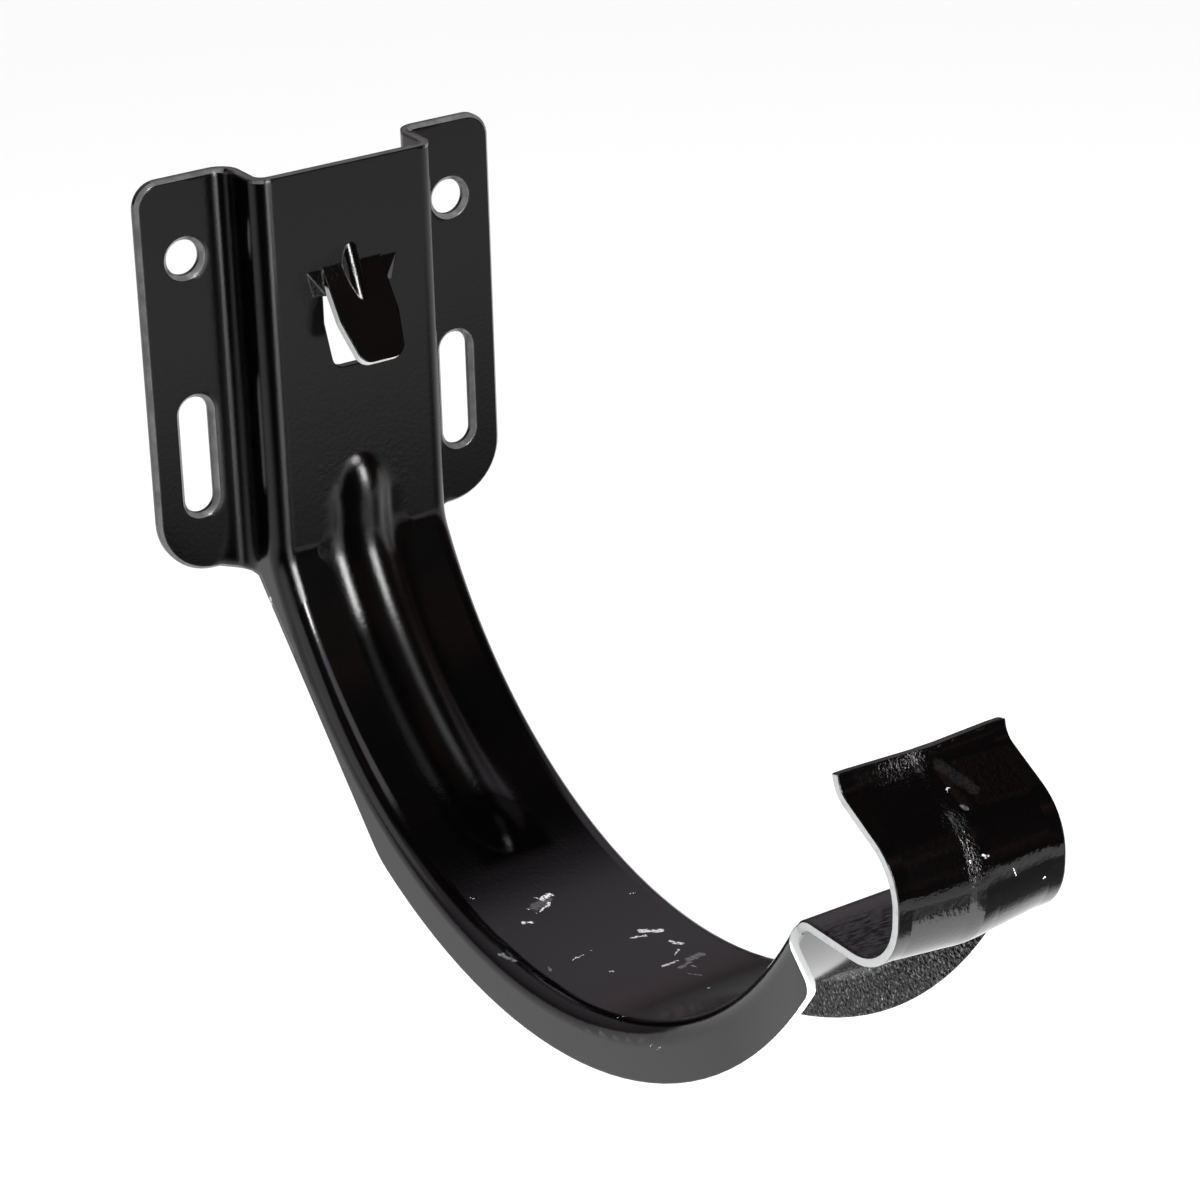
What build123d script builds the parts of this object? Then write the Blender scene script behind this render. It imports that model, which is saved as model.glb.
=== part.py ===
from build123d import *
import math
import os

os.makedirs("parts", exist_ok=True)

# Axes: X across the bracket, Y out of the wall, Z up; the wall face is Y = 0 and the arm reaches toward -Y.
# The origin lies on the wall face, midway between the two round fixing holes.

# Sheet
sheet = 1.2
fold_inner = 1.4
fold_outer = fold_inner + sheet
edge_chamfer = 0.45

# Mounting plate
plate_width = 53.0
plate_rise = 11.0
plate_drop = 44.0
plate_toe = 1.6
plate_top_corner = 3.5
joggle = 8.0
joggle_foot = 1.8
web_width = 27.0
corner_share = 0.62
toe_share = 0.34

# Fixing holes and slots, with a broken rim on the front
fixing_pitch = (plate_width + web_width) / 2
hole_diameter = 4.8
slot_width = 4.4
slot_length = 16.4
slot_drop = 27.5
rim_chamfer = 0.6

# Cradle for the half round gutter
gutter_width = 125.0
gutter_clearance = 1.25
cradle_radius = gutter_width / 2 + gutter_clearance
cradle_drop = 13.85
web_meets_angle = 25.9
web_bend = 6.0

# Side walls of the arm
wall_depth = 7.2
wall_full_angle = 61.0
wall_start_reach = 3.4
wall_edge_blend = 12.0
nose_slope = 45.0
nose_radius = 2.0

# Peak, hook and lip at the front
strip_width = 23.0
peak_outer = 2.8
strip_run = 9.4
strip_overlap = 1.5
strip_chamfer = 0.25
hook_drop = 37.3
hook_outer = 8.0
hook_inner = hook_outer - sheet
hook_straight = 1.25
hook_back_slope = 28.5
hook_back_length = 7.6
lip_slope = 78.0
lip_length = 2.4
lip_bend = 4.0

# Shallow crease pressed outward down the middle of the hook
crease_width = 19.0
crease_height = 0.9
crease_round = 15.0
crease_root = 0.15

# Long stiffening bead, raised toward the gutter
bead_width = 11.5
bead_height = 2.3
bead_flank = 35.0
bead_crest = 3.0
bead_foot = 2.5
bead_foot_rise = 0.12
bead_top_drop = 29.4
bead_rise = 5.6
bead_end_angle = 70.0

# Lanced tongue
tongue_width = 8.8
tongue_tip_width = 6.4
tongue_length = 13.4
tongue_taper_from = 7.4
tongue_tip_radius = 1.8
tongue_angle = 34.0
tongue_root_drop = 2.6
tongue_slit_drop = 6.0
tongue_gap = 0.1
tongue_end_gap = 0.6
tongue_bend = 1.0
dart_rise = 2.8
dart_run = 5.2
dart_half = 1.4
dart_depth = 1.2
shoulder_span = 2.3
shoulder_foot = 1.5
shoulder_lift = 0.8

# Tolerance for finding edges
fit = 0.01

half_plate = plate_width / 2
half_web = web_width / 2
half_strip = strip_width / 2
flange_width = half_plate - half_web
plate_bottom_corner = corner_share * flange_width
plate_toe_run = toe_share * flange_width
flange_front = -sheet
web_front = -(sheet + joggle)
web_back = web_front + sheet
wall_edge_radius = cradle_radius + wall_depth
strip_top = -(hook_drop + hook_inner)
toe_drop = plate_drop + plate_toe

# Where the flat web meets the cradle, and where the cradle meets the strip behind the hook
cradle_reach = -web_front + cradle_radius * math.cos(math.radians(web_meets_angle))
bend_z = -cradle_drop - cradle_radius * math.sin(math.radians(web_meets_angle))
peak_y = -cradle_reach - math.sqrt(cradle_radius**2 - (strip_top + cradle_drop) ** 2)
hook_reach = strip_run - peak_y
cradle_bottom = (-cradle_reach, -cradle_drop - cradle_radius)

# Gutter side line of the sheet, from the top of the plate to the lip
hook_back = math.radians(hook_back_slope)
hook_top_y = -hook_reach - hook_inner * math.sin(hook_back)
hook_top_z = -hook_drop + hook_straight + hook_inner * math.cos(hook_back)
lip_y = hook_top_y + hook_back_length * math.cos(hook_back)
lip_z = hook_top_z + hook_back_length * math.sin(hook_back)
lip_turn = math.radians(lip_slope)
tip_y = lip_y + lip_length * math.cos(lip_turn)
tip_z = lip_z + lip_length * math.sin(lip_turn)


with BuildLine() as gutter_line:
    Line((web_front, plate_rise), (web_front, bend_z))
    ThreePointArc((web_front, bend_z), cradle_bottom, (peak_y, strip_top))
    Line((peak_y, strip_top), (-hook_reach, strip_top))
    CenterArc((-hook_reach, -hook_drop), hook_inner, 270, -90)
    Line((-hook_reach - hook_inner, -hook_drop), (-hook_reach - hook_inner, -hook_drop + hook_straight))
    CenterArc((-hook_reach, -hook_drop + hook_straight), hook_inner, 180, hook_back_slope - 90)
    Line((hook_top_y, hook_top_z), (lip_y, lip_z))
    Line((lip_y, lip_z), (tip_y, tip_z))
    fillet(gutter_line.vertices().sort_by_distance((web_front, bend_z))[0], web_bend)
    fillet(gutter_line.vertices().sort_by_distance((peak_y, strip_top))[0], peak_outer)
    fillet(gutter_line.vertices().sort_by_distance((lip_y, lip_z))[0], lip_bend)


arm_edges = gutter_line.wire().edges()[:3]
hook_edges = gutter_line.wire().edges()[3:]
crest = arm_edges[-1] @ 1

# Free edge of the side walls: straight under the plate, then round the cradle up to the nose under the peak
joint = math.radians(wall_full_angle)
joint_y = -cradle_reach + wall_edge_radius * math.cos(joint)
joint_z = -cradle_drop - wall_edge_radius * math.sin(joint)
slope = math.radians(nose_slope)
from_axis_y = crest.X + cradle_reach
from_axis_z = crest.Y + cradle_drop
toward_axis = -(from_axis_y * math.cos(slope) + from_axis_z * math.sin(slope))
nose_run = -toward_axis + math.sqrt(toward_axis**2 - from_axis_y**2 - from_axis_z**2 + wall_edge_radius**2)
nose_y = crest.X - nose_run * math.cos(slope)
nose_z = crest.Y - nose_run * math.sin(slope)
wall_bottom = (-cradle_reach, -cradle_drop - wall_edge_radius)

with BuildLine() as web_front_line:
    Polyline(
        (-half_plate, flange_front),
        (-half_web, flange_front),
        (-half_web, web_front),
        (half_web, web_front),
        (half_web, flange_front),
        (half_plate, flange_front),
    )
    fillet(web_front_line.vertices().group_by(Axis.Y)[0], fold_outer)
    feet = web_front_line.vertices().group_by(Axis.Y)[-1].sort_by(Axis.X)[1:-1]
    fillet(feet, joggle_foot)

with BuildPart() as plate:
    # Joggled sheet: the flanges lie on the wall and the web between them stands forward
    with BuildSketch(Plane.XY.offset(-toe_drop)):
        with BuildLine():
            offset(web_front_line.wire(), amount=sheet, side=Side.LEFT, closed=True)
        make_face()
    extrude(amount=plate_rise + toe_drop)

    # Lower edge of the flanges, dipping a little where it runs into the arm
    with BuildSketch(Plane.XZ):
        with BuildLine():
            Polyline(
                (half_plate + sheet, -toe_drop - sheet),
                (half_plate + sheet, -plate_drop),
                (half_web + plate_toe_run, -plate_drop),
                (half_web, -toe_drop),
                (half_web, -toe_drop - sheet),
                close=True,
            )
        make_face()
        mirror(about=Plane.YZ)
    extrude(amount=sheet - web_front, both=True, mode=Mode.SUBTRACT)
    sides = plate.edges().filter_by(Axis.Y).group_by(Axis.X)
    outer_corners = (sides[0] + sides[-1]).group_by(Axis.Z)
    fillet(outer_corners[-1], plate_top_corner)
    fillet(outer_corners[0], plate_bottom_corner)

    # Front edges broken by the shearing: along the top and round both flanges
    sheared_edges = [
        edge
        for edge in plate.edges()
        if (
            abs((edge @ 0.5).Z - plate_rise) < fit
            and Vertex((edge @ 0.5).X, (edge @ 0.5).Y, 0).distance_to(web_front_line.wire()) < fit
        )
        or (abs((edge @ 0.5).Y - flange_front) < fit and abs((edge @ 0.5).X) > half_web + joggle_foot + fit)
    ]
    chamfer(sheared_edges, edge_chamfer)

with BuildPart() as arm_block:
    # Solid arm between the walls' outer faces, rounded along the folds on the gutter side
    with BuildSketch(Plane.YZ):
        with BuildLine() as side_outline:
            add(arm_edges)
            Line((crest.X, crest.Y), (nose_y, nose_z))
            ThreePointArc((nose_y, nose_z), wall_bottom, (joint_y, joint_z))
            Polyline(
                (joint_y, joint_z),
                (-wall_start_reach, -toe_drop),
                (-wall_start_reach, plate_rise),
                (web_front, plate_rise),
            )
            fillet(side_outline.vertices().sort_by_distance((nose_y, nose_z))[0], nose_radius)
            fillet(side_outline.vertices().sort_by_distance((joint_y, joint_z))[0], wall_edge_blend)
        make_face()
    extrude(amount=half_web, both=True)
    folds = [
        edge
        for edge in arm_block.edges()
        if abs(abs((edge @ 0.5).X) - half_web) < fit
        and any(Vertex((edge @ 0.5).Y, (edge @ 0.5).Z, 0).distance_to(guide) < fit for guide in arm_edges)
    ]
    fillet(folds, fold_outer)

with BuildLine() as sheet_back_line:
    offset(gutter_line.wire(), amount=sheet, side=Side.LEFT, closed=False)
arm_back = sheet_back_line.wire().edges()[-5:]

with BuildPart() as arm_hollow:
    # Open space behind the sheet, between the walls' inner faces
    with BuildSketch(Plane.YZ):
        with BuildLine():
            add(arm_back)
            Polyline(
                (-hook_reach, strip_top - sheet),
                (-hook_reach, cradle_bottom[1] - 2 * wall_depth),
                (sheet, cradle_bottom[1] - 2 * wall_depth),
                (sheet, plate_rise),
                (web_back, plate_rise),
            )
        make_face()
    extrude(amount=half_web - sheet, both=True)
    inner_folds = [
        edge
        for edge in arm_hollow.edges()
        if abs(abs((edge @ 0.5).X) - half_web + sheet) < fit
        and any(Vertex((edge @ 0.5).Y, (edge @ 0.5).Z, 0).distance_to(guide) < fit for guide in arm_back)
    ]
    fillet(inner_folds, fold_inner)

with BuildPart() as strip:
    # Strip from the peak through the hook to the lip, one sheet thick
    with BuildSketch(Plane.YZ):
        with BuildLine() as strip_line:
            with BuildLine(mode=Mode.PRIVATE) as strip_guide:
                add(arm_edges[-1].trim(1 - strip_overlap / arm_edges[-1].length, 1))
                add(hook_edges)
            offset(strip_guide.wire(), amount=sheet, side=Side.LEFT, closed=True)
        make_face()
    extrude(amount=half_strip, both=True)

    # Gutter side edges broken by the shearing
    sheared = [
        edge
        for edge in strip.edges()
        if abs(abs((edge @ 0.5).X) - half_strip) < fit
        and Vertex((edge @ 0.5).Y, (edge @ 0.5).Z, 0).distance_to(strip_guide.wire()) < fit
    ]
    chamfer(sheared, strip_chamfer)

hook_start = hook_edges[0] @ 1
with BuildLine() as hook_line:
    add(hook_edges[1:])


def crease_ridge(depth):
    """Ridge along the hook, its flanks ending at this depth under the gutter side."""
    with BuildLine() as raised:
        offset(hook_line.wire(), amount=depth + crease_height, side=Side.LEFT, closed=False)
    with BuildLine() as crease_line:
        add(raised.wire().edges()[:-1])
        Line(raised.wire().edges()[-2] @ 1, (hook_start.X, hook_start.Y - depth))
    path = crease_line.wire().moved(Plane.YZ.location)
    plane = Plane(origin=path @ 0, x_dir=(1, 0, 0), z_dir=path % 0)
    outward = 1 if plane.y_dir.dot((path @ 0) - Vector(0, tip_y, tip_z)) > 0 else -1
    root_depth = crease_height + crease_root
    root_half = crease_width / 2 * root_depth / crease_height
    root = -outward * root_depth
    with BuildPart() as ridge:
        with BuildSketch(plane):
            with BuildLine() as crease_outline:
                Polyline((0, 0), (root_half, root), (-root_half, root), close=True)
                fillet(crease_outline.vertices().sort_by_distance((0, 0))[0], crease_round)
            make_face()
        sweep(path=path)
    return ridge.part


with BuildPart() as creased_strip:
    add(strip)
    add(crease_ridge(sheet))
    add(crease_ridge(0), mode=Mode.SUBTRACT)

# Crest of the bead: it rises out of the flat web, follows the cradle and sinks back into it
bead_end = math.radians(bead_end_angle)
bead_start_z = -bead_top_drop
bead_full_z = bead_start_z - bead_rise
crest_radius = cradle_radius - bead_height
crest_front = web_front - bead_height
crest_bend_z = -cradle_drop - math.sqrt(crest_radius**2 - (cradle_reach + crest_front) ** 2)
bead_down = bead_end - bead_rise / cradle_radius
bead_slope = math.radians(bead_flank)
bead_peak = bead_height + bead_crest * (1 / math.cos(bead_slope) - 1)
bead_knee = (bead_peak - bead_foot_rise) / math.tan(bead_slope)
bead_depth = bead_height + 2 * sheet


def on_cradle(radius, angle):
    """Point of the cradle profile at this radius and angle below the horizontal."""
    return (-cradle_reach + radius * math.cos(angle), -cradle_drop - radius * math.sin(angle))


bead_bend = math.atan2(-crest_bend_z - cradle_drop, cradle_reach + crest_front)
bead_middle = (bead_bend + bead_down) / 2
with BuildLine(Plane.YZ) as bead_line:
    TangentArc((crest_front, bead_full_z), (web_front, bead_start_z), tangent=(0, 1))
    Line((crest_front, bead_full_z), (crest_front, crest_bend_z))
    ThreePointArc(
        (crest_front, crest_bend_z), on_cradle(crest_radius, bead_middle), on_cradle(crest_radius, bead_down)
    )
    TangentArc(
        on_cradle(crest_radius, bead_down),
        on_cradle(cradle_radius, bead_end),
        tangent=(-math.sin(bead_down), -math.cos(bead_down)),
    )
    fillet(bead_line.vertices().sort_by_distance((0, crest_front, crest_bend_z))[0], web_bend + bead_height)
bead_path = bead_line.wire()
bead_tangent = bead_path % 0
bead_plane = Plane(origin=bead_path @ 0, x_dir=(1, 0, 0), z_dir=bead_tangent)


def bead_ridge(lowered):
    """Ridge swept along the crest, lowered toward the sheet's back."""
    back = 1 if bead_plane.y_dir.Y > 0 else -1
    top = back * (lowered + bead_height - bead_peak)
    knee = back * (lowered + bead_height - bead_foot_rise)
    hem = back * (lowered + bead_height + bead_foot_rise)
    foot = back * (lowered + bead_depth)
    hem_half = bead_width - bead_knee
    with BuildPart() as ridge:
        with BuildSketch(bead_plane):
            with BuildLine() as crest_outline:
                Polyline(
                    (0, top),
                    (bead_knee, knee),
                    (hem_half, hem),
                    (hem_half, foot),
                    (-hem_half, foot),
                    (-hem_half, hem),
                    (-bead_knee, knee),
                    close=True,
                )
                fillet(crest_outline.vertices().sort_by_distance((0, top))[0], bead_crest)
                fillet(crest_outline.vertices().filter_by(lambda v: abs(abs(v.X) - bead_knee) < fit), bead_foot)
            make_face()
        sweep(path=bead_path)
    return ridge.part


with BuildPart() as tongue:
    # Tongue bent forward out of the web, its sides parallel and then drawn in to a rounded tip
    tilt = math.radians(tongue_angle)
    root_z = -tongue_root_drop
    with BuildSketch(Plane.YZ):
        with BuildLine():
            with BuildLine(mode=Mode.PRIVATE) as tongue_guide:
                Polyline(
                    (web_front, root_z + 2 * sheet),
                    (web_front, root_z),
                    (web_front - tongue_length * math.sin(tilt), root_z - tongue_length * math.cos(tilt)),
                )
                fillet(tongue_guide.vertices().sort_by_distance((web_front, root_z))[0], tongue_bend)
            offset(tongue_guide.wire(), amount=sheet, side=Side.LEFT, closed=True)
        make_face()
    extrude(amount=tongue_width / 2, both=True)
    tongue_plane = Plane(origin=(0, web_front, root_z), x_dir=(1, 0, 0), z_dir=(0, -math.cos(tilt), math.sin(tilt)))
    with BuildSketch(tongue_plane) as tongue_outline:
        with BuildLine() as tongue_edge:
            Polyline(
                (-tongue_width / 2, 3 * sheet),
                (-tongue_width / 2, -tongue_taper_from),
                (-tongue_tip_width / 2, -tongue_length),
                (tongue_tip_width / 2, -tongue_length),
                (tongue_width / 2, -tongue_taper_from),
                (tongue_width / 2, 3 * sheet),
                close=True,
            )
            fillet(tongue_edge.vertices().group_by(Axis.Y)[0], tongue_tip_radius)
            fillet(tongue_edge.vertices().group_by(Axis.Y)[-2], tongue_width / 2)
        make_face()
    extrude(amount=3 * sheet, both=True, mode=Mode.INTERSECT)

with BuildPart() as shoulders:
    # Web drawn forward a little on both sides of the tongue's root, most at the ends of the slits
    slit_side = tongue_width / 2
    with BuildSketch(Plane.XZ.offset(-web_front)) as shoulder_base:
        with BuildLine():
            Polyline(
                (slit_side - tongue_gap, root_z),
                (slit_side + shoulder_span, root_z),
                (slit_side + shoulder_foot, -tongue_slit_drop),
                (slit_side - tongue_gap, -tongue_slit_drop),
                close=True,
            )
        make_face()
    loft([shoulder_base.sketch.face(), Vertex(slit_side, web_front - shoulder_lift, -tongue_slit_drop)])
    mirror(about=Plane.YZ)

# Small rib across the inside of the tongue's bend
dart_turn = math.atan2(dart_run * math.sin(tilt), dart_rise + dart_run * math.cos(tilt))
dart_length = math.hypot(dart_run * math.sin(tilt), dart_rise + dart_run * math.cos(tilt))
dart_plane = Plane(
    origin=(0, web_front, root_z + dart_rise),
    x_dir=(1, 0, 0),
    z_dir=(0, -math.sin(dart_turn), -math.cos(dart_turn)),
)
with BuildPart() as dart:
    with BuildSketch(dart_plane):
        with BuildLine():
            ThreePointArc((-dart_half, -dart_depth), (0, 0), (dart_half, -dart_depth))
            Line((-dart_half, -dart_depth), (dart_half, -dart_depth))
        make_face()
    extrude(amount=dart_length)

with BuildPart() as gutter_bracket:
    add(plate)
    add(arm_block)
    add(bead_ridge(0))
    add(arm_hollow, mode=Mode.SUBTRACT)
    add(bead_ridge(sheet / math.cos(bead_slope)), mode=Mode.SUBTRACT)
    add(creased_strip)
    add(shoulders)

    # Round holes above and upright slots below, through both flanges
    with Locations(Plane.XZ.offset(-flange_front)):
        with GridLocations(fixing_pitch, 0, 2, 1):
            Hole(hole_diameter / 2, depth=sheet)
    with BuildSketch(Plane.XZ.offset(-flange_front)):
        with Locations((0, -slot_drop)):
            with GridLocations(fixing_pitch, 0, 2, 1):
                SlotOverall(slot_length, slot_width, rotation=90)
    extrude(amount=-sheet, mode=Mode.SUBTRACT)
    rims = [
        edge
        for edge in gutter_bracket.edges()
        if abs((edge @ 0.5).Y - flange_front) < fit
        and abs(abs((edge @ 0.5).X) - fixing_pitch / 2) < hole_diameter / 2 + fit
        and -slot_drop - slot_length / 2 - fit < (edge @ 0.5).Z < hole_diameter / 2 + fit
    ]
    chamfer(rims, rim_chamfer)

    # Window left by the tongue
    with BuildSketch(Plane.XZ.offset(-web_front)):
        with BuildLine() as window_edge:
            Polyline(
                (-tongue_width / 2 - tongue_gap, -tongue_slit_drop),
                (-tongue_width / 2 - tongue_gap, root_z - tongue_taper_from),
                (-tongue_tip_width / 2 - tongue_gap, root_z - tongue_length - tongue_end_gap),
                (tongue_tip_width / 2 + tongue_gap, root_z - tongue_length - tongue_end_gap),
                (tongue_width / 2 + tongue_gap, root_z - tongue_taper_from),
                (tongue_width / 2 + tongue_gap, -tongue_slit_drop),
                close=True,
            )
            fillet(window_edge.vertices().group_by(Axis.Y)[0], tongue_tip_radius)
        make_face()
    extrude(amount=-sheet, mode=Mode.SUBTRACT)
    add(tongue)
    add(dart)

gutter_bracket.part.label = "gutter_bracket"
export_step(gutter_bracket.part, "parts/gutter_bracket.step")
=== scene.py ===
import logging
from dataclasses import dataclass, field
from enum import Enum

import bpy
from mathutils import Matrix, Vector

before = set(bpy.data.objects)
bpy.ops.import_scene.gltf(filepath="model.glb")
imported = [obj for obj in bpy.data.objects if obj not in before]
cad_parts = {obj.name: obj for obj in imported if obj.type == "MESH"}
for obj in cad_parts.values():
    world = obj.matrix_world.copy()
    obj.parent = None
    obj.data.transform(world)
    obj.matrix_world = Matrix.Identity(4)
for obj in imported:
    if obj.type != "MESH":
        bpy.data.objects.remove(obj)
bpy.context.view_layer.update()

LOG = logging.getLogger("gutter_bracket")
MM = 0.001

Point = tuple[float, float, float]
Colour = tuple[float, float, float, float]
Span = tuple[float, float]
Socket = bpy.types.NodeSocket
Tree = bpy.types.NodeTree
Sockets = dict[str, Socket]

FULL: Span = (0.0, 1.0)
ORIGIN: Point = (0.0, 0.0, 0.0)


class Finish(Enum):
    """Finishes that the scene can put on a surface."""

    GLOSS_COAT = "gloss_black_coat"
    PAPER = "studio_paper"


class Effect(Enum):
    """Shared effects, each one node group."""

    STROKE = "stroke_mask"
    PEEL = "orange_peel"
    SPECKS = "dust_specks"


class MarkKind(Enum):
    """Kinds of mark left on the coating."""

    CHIP = "chip"
    SCRATCH = "scratch"
    SMEAR = "smear"
    DARK = "dark"
    PEBBLE = "pebble"


def new_material(name: str) -> tuple[bpy.types.Material, Tree]:
    """Make an empty node material.

    Args:
        name: Name of the material.

    Returns:
        The material and its node tree.
    """
    material = bpy.data.materials.new(name)
    material.use_nodes = True
    material.node_tree.nodes.clear()
    return material, material.node_tree


def feed(tree: Tree, target: Socket, value: object) -> None:
    """Link a socket, or set a constant on it.

    Args:
        tree: Tree that holds the socket.
        target: Input to feed.
        value: Socket or constant.
    """
    if isinstance(value, Socket):
        tree.links.new(value, target)
    else:
        target.default_value = value


def math_node(tree: Tree, operation: str, first: object, second: object = 0.0, clamp: bool = False) -> Socket:
    """Add a Math node.

    Args:
        tree: Tree that gets the node.
        operation: Blender's name of the operation.
        first: Socket or number for the first input.
        second: Socket or number for the second input.
        clamp: Keep the result between 0 and 1.

    Returns:
        The node's output socket.
    """
    node = tree.nodes.new("ShaderNodeMath")
    node.operation = operation
    node.use_clamp = clamp
    feed(tree, node.inputs[0], first)
    feed(tree, node.inputs[1], second)
    return node.outputs[0]


def combine(tree: Tree, operation: str, values: tuple[object, ...]) -> Socket:
    """Chain one Math operation over several values.

    Args:
        tree: Tree that gets the nodes.
        operation: Blender's name of the operation.
        values: Two or more sockets or numbers.

    Returns:
        The result's socket.
    """
    result = values[0]
    for value in values[1:]:
        result = math_node(tree, operation, result, value)
    return result


def product(tree: Tree, *values: object) -> Socket:
    """Multiply sockets and numbers."""
    return combine(tree, "MULTIPLY", values)


def total(tree: Tree, *values: object) -> Socket:
    """Add sockets and numbers."""
    return combine(tree, "ADD", values)


def highest(tree: Tree, *values: object) -> Socket:
    """Take the highest of sockets and numbers."""
    return combine(tree, "MAXIMUM", values)


def above(tree: Tree, value: Socket, level: object) -> Socket:
    """Mask that is 1 where a value lies above a level."""
    return math_node(tree, "GREATER_THAN", value, level)


def below(tree: Tree, value: Socket, level: object) -> Socket:
    """Mask that is 1 where a value lies below a level."""
    return math_node(tree, "LESS_THAN", value, level)


def size_of(tree: Tree, value: Socket) -> Socket:
    """Take a value without its sign."""
    return math_node(tree, "ABSOLUTE", value)


def remap(tree: Tree, value: Socket, span: Span, ends: Span = FULL) -> Socket:
    """Map a value smoothly from one span to another.

    Args:
        tree: Tree that gets the node.
        value: Socket to map.
        span: Values that become the two ends, in either order.
        ends: Results at the two ends of the span.

    Returns:
        The mapped value's socket.
    """
    node = tree.nodes.new("ShaderNodeMapRange")
    node.interpolation_type = "SMOOTHSTEP"
    tree.links.new(value, node.inputs["Value"])
    node.inputs["From Min"].default_value, node.inputs["From Max"].default_value = span
    node.inputs["To Min"].default_value, node.inputs["To Max"].default_value = ends
    return node.outputs["Result"]


def band(tree: Tree, value: Socket, span: Span, soft: float) -> Socket:
    """Mask of a span of values, with straight ramps just inside its ends.

    Args:
        tree: Tree that gets the nodes.
        value: Socket to test.
        span: Lowest and highest value inside the band.
        soft: Width of each ramp.

    Returns:
        The mask's socket.
    """
    low, high = span
    rising = math_node(tree, "DIVIDE", math_node(tree, "SUBTRACT", value, low), soft, clamp=True)
    falling = math_node(tree, "DIVIDE", math_node(tree, "SUBTRACT", high, value), soft, clamp=True)
    return product(tree, rising, falling)


def vector_node(tree: Tree, operation: str, first: object, second: object = ORIGIN) -> bpy.types.Node:
    """Add a Vector Math node.

    Args:
        tree: Tree that gets the node.
        operation: Blender's name of the operation.
        first: Socket or vector for the first input.
        second: Socket or vector for the second input.

    Returns:
        The node.
    """
    node = tree.nodes.new("ShaderNodeVectorMath")
    node.operation = operation
    feed(tree, node.inputs[0], first)
    feed(tree, node.inputs[1], second)
    return node


def split(tree: Tree, vector: Socket) -> Sockets:
    """Split a vector into its components.

    Args:
        tree: Tree that gets the node.
        vector: Vector socket.

    Returns:
        The components by axis name.
    """
    parts = tree.nodes.new("ShaderNodeSeparateXYZ")
    tree.links.new(vector, parts.inputs["Vector"])
    return {axis: parts.outputs[axis] for axis in ("X", "Y", "Z")}


def mix_colour(tree: Tree, mask: Socket, first: object, second: object) -> Socket:
    """Add a colour Mix node.

    Args:
        tree: Tree that gets the node.
        mask: Factor socket.
        first: Colour where the mask is 0.
        second: Colour where the mask is 1.

    Returns:
        The mixed colour's socket.
    """
    node = tree.nodes.new("ShaderNodeMix")
    node.data_type = "RGBA"
    tree.links.new(mask, node.inputs["Factor"])
    feed(tree, node.inputs["A"], first)
    feed(tree, node.inputs["B"], second)
    return node.outputs["Result"]


def noise_node(
    tree: Tree, place: Socket, scale: object, detail: float = 2.0, roughness: float = 0.5
) -> bpy.types.Node:
    """Add a Noise Texture node.

    Args:
        tree: Tree that gets the node.
        place: Coordinates socket.
        scale: Socket or number for the noise's scale.
        detail: Number of octaves.
        roughness: Share of each finer octave.

    Returns:
        The node.
    """
    node = tree.nodes.new("ShaderNodeTexNoise")
    node.inputs["Detail"].default_value = detail
    node.inputs["Roughness"].default_value = roughness
    tree.links.new(place, node.inputs["Vector"])
    feed(tree, node.inputs["Scale"], scale)
    return node


def noise(tree: Tree, place: Socket, scale: object, detail: float = 2.0, roughness: float = 0.5) -> Socket:
    """Add a Noise Texture node and read its value."""
    return noise_node(tree, place, scale, detail, roughness).outputs["Fac"]


def use_group(tree: Tree, group: Tree, **values: object) -> bpy.types.Node:
    """Add a group node and feed its inputs.

    Args:
        tree: Tree that gets the node.
        group: Group to use.
        values: Sockets or constants by input name.

    Returns:
        The group node.
    """
    node = tree.nodes.new("ShaderNodeGroup")
    node.node_tree = group
    for name, value in values.items():
        feed(tree, node.inputs[name], value)
    return node


@dataclass(frozen=True)
class EffectGroup:
    """One shared effect as a node group: a position and some numbers in, one value out."""

    effect: Effect
    vectors: tuple[str, ...]
    numbers: tuple[str, ...]
    output: str

    def make(self) -> tuple[Tree, Sockets, Socket]:
        """Make the group with its sockets.

        Returns:
            The group's tree, its inputs by name and the output to feed.
        """
        tree = bpy.data.node_groups.new(self.effect.value, "ShaderNodeTree")
        for name in self.vectors:
            tree.interface.new_socket(name=name, in_out="INPUT", socket_type="NodeSocketVector")
        for name in self.numbers:
            tree.interface.new_socket(name=name, in_out="INPUT", socket_type="NodeSocketFloat")
        tree.interface.new_socket(name=self.output, in_out="OUTPUT", socket_type="NodeSocketFloat")
        entry = tree.nodes.new("NodeGroupInput")
        inputs = {name: entry.outputs[name] for name in self.vectors + self.numbers}
        return tree, inputs, tree.nodes.new("NodeGroupOutput").inputs[self.output]


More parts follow.
